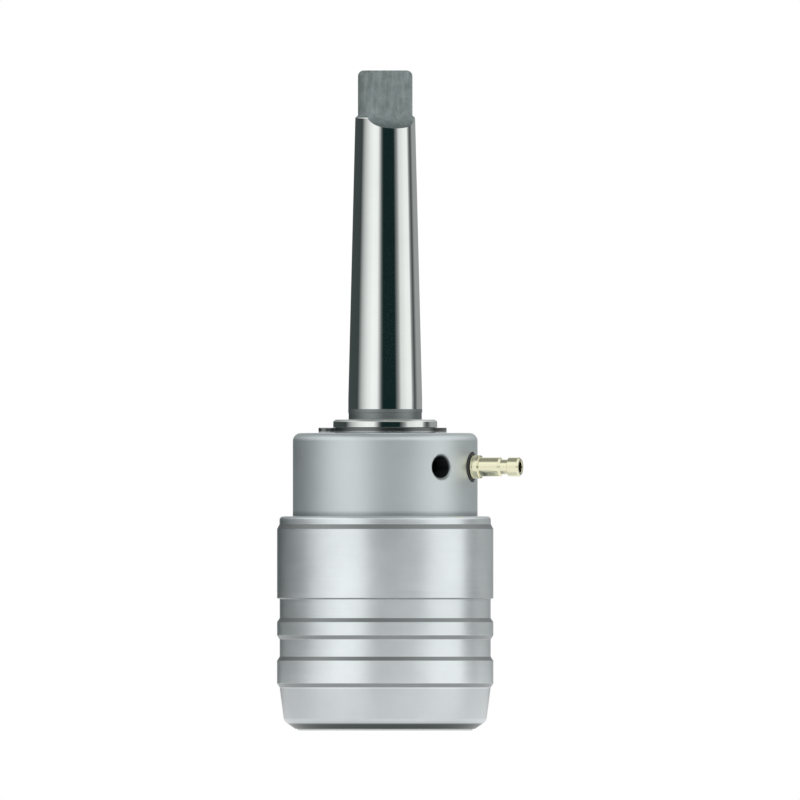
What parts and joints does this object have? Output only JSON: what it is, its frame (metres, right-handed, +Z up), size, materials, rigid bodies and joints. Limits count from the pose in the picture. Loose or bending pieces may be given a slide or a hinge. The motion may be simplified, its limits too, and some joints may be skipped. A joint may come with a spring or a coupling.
{
  "type": "annular cutter arbor",
  "caption": "Quick-change arbor for annular cutters: Morse taper shank with tang, coolant feed ring with hose nipple, and a ribbed lift sleeve that frees the locking pins.",
  "frame": {"origin": "centre of the nose face that the arbor stands on, on the arbor's axis", "axes": "+Z up the arbor's axis to the tang, -Y the pictured front, +X right in the picture"},
  "size_m": [0.06, 0.0528, 0.1608],
  "materials": {
    "arbor_steel": "ground and lapped steel with fine turning lines",
    "nose_ring_steel": "fine turned steel",
    "clip_steel": "oiled phosphate black spring steel",
    "hardened_steel": "hardened and ground steel",
    "spring_steel": "drawn spring wire",
    "washer_steel": "punched steel",
    "plunger_steel": "turned stainless steel",
    "sleeve_steel": "satin turned steel",
    "ring_aluminium": "satin anodised, blasted before",
    "bush_bronze": "sintered bronze, oiled",
    "washer_bronze": "bronze sheet",
    "nipple_brass": "turned pale brass",
    "nipple_washer_nylon": "natural nylon",
    "seal_rubber": "moulded nitrile rubber"
  },
  "bodies": {
    "arbor": {"arbor_body": "arbor_steel", "nose_ring": "nose_ring_steel", "nose_snap_ring": "clip_steel", "guide_dowels": "hardened_steel", "sleeve_wiper": "seal_rubber", "sleeve_spring": "spring_steel", "retaining_circlip": "clip_steel", "lower_thrust_washer": "washer_bronze", "plunger_washer": "washer_steel", "plunger_circlip": "clip_steel", "plunger_spring": "spring_steel"},
    "coolant_ring": {"coolant_ring": "ring_aluminium", "lower_bush": "bush_bronze", "upper_bush": "bush_bronze", "lower_shaft_seal": "seal_rubber", "upper_shaft_seal": "seal_rubber", "upper_thrust_washer": "washer_steel", "hose_nipple": "nipple_brass", "nipple_washer": "nipple_washer_nylon"},
    "grip_sleeve": {"grip_sleeve": "sleeve_steel", "cam_ring": "hardened_steel"},
    "pilot_plunger": {"pilot_plunger": "plunger_steel", "plunger_seal": "seal_rubber"},
    "locking_pin_front": {"locking_pin_front": "hardened_steel"},
    "locking_pin_side": {"locking_pin_side": "hardened_steel"}
  },
  "joints": [
    {"name": "ring_spin", "type": "hinge", "parent": "arbor", "child": "coolant_ring", "pos_m": [0, 0, 0.0642], "axis": [0, 0, 1], "continuous": true},
    {"name": "sleeve_lift", "type": "slide", "parent": "arbor", "child": "grip_sleeve", "axis": [0, 0, 1], "range_m": [0, 0.006], "stiffness_N_per_m": 2500, "springref_m": -0.01, "deforming": ["sleeve_spring"]},
    {"name": "pin_front_slide", "type": "slide", "parent": "arbor", "child": "locking_pin_front", "axis": [0, -1, 0], "range_m": [0, 0.0015]},
    {"name": "pin_side_slide", "type": "slide", "parent": "arbor", "child": "locking_pin_side", "axis": [1, 0, 0], "range_m": [0, 0.0015]},
    {"name": "plunger_slide", "type": "slide", "parent": "arbor", "child": "pilot_plunger", "axis": [0, 0, 1], "range_m": [0, 0.03], "stiffness_N_per_m": 150, "springref_m": -0.03, "deforming": ["plunger_spring"]}
  ],
  "couplings": [
    {"joint": "pin_front_slide", "follows": "sleeve_lift", "ratio": 0.25},
    {"joint": "pin_side_slide", "follows": "sleeve_lift", "ratio": 0.25}
  ]
}
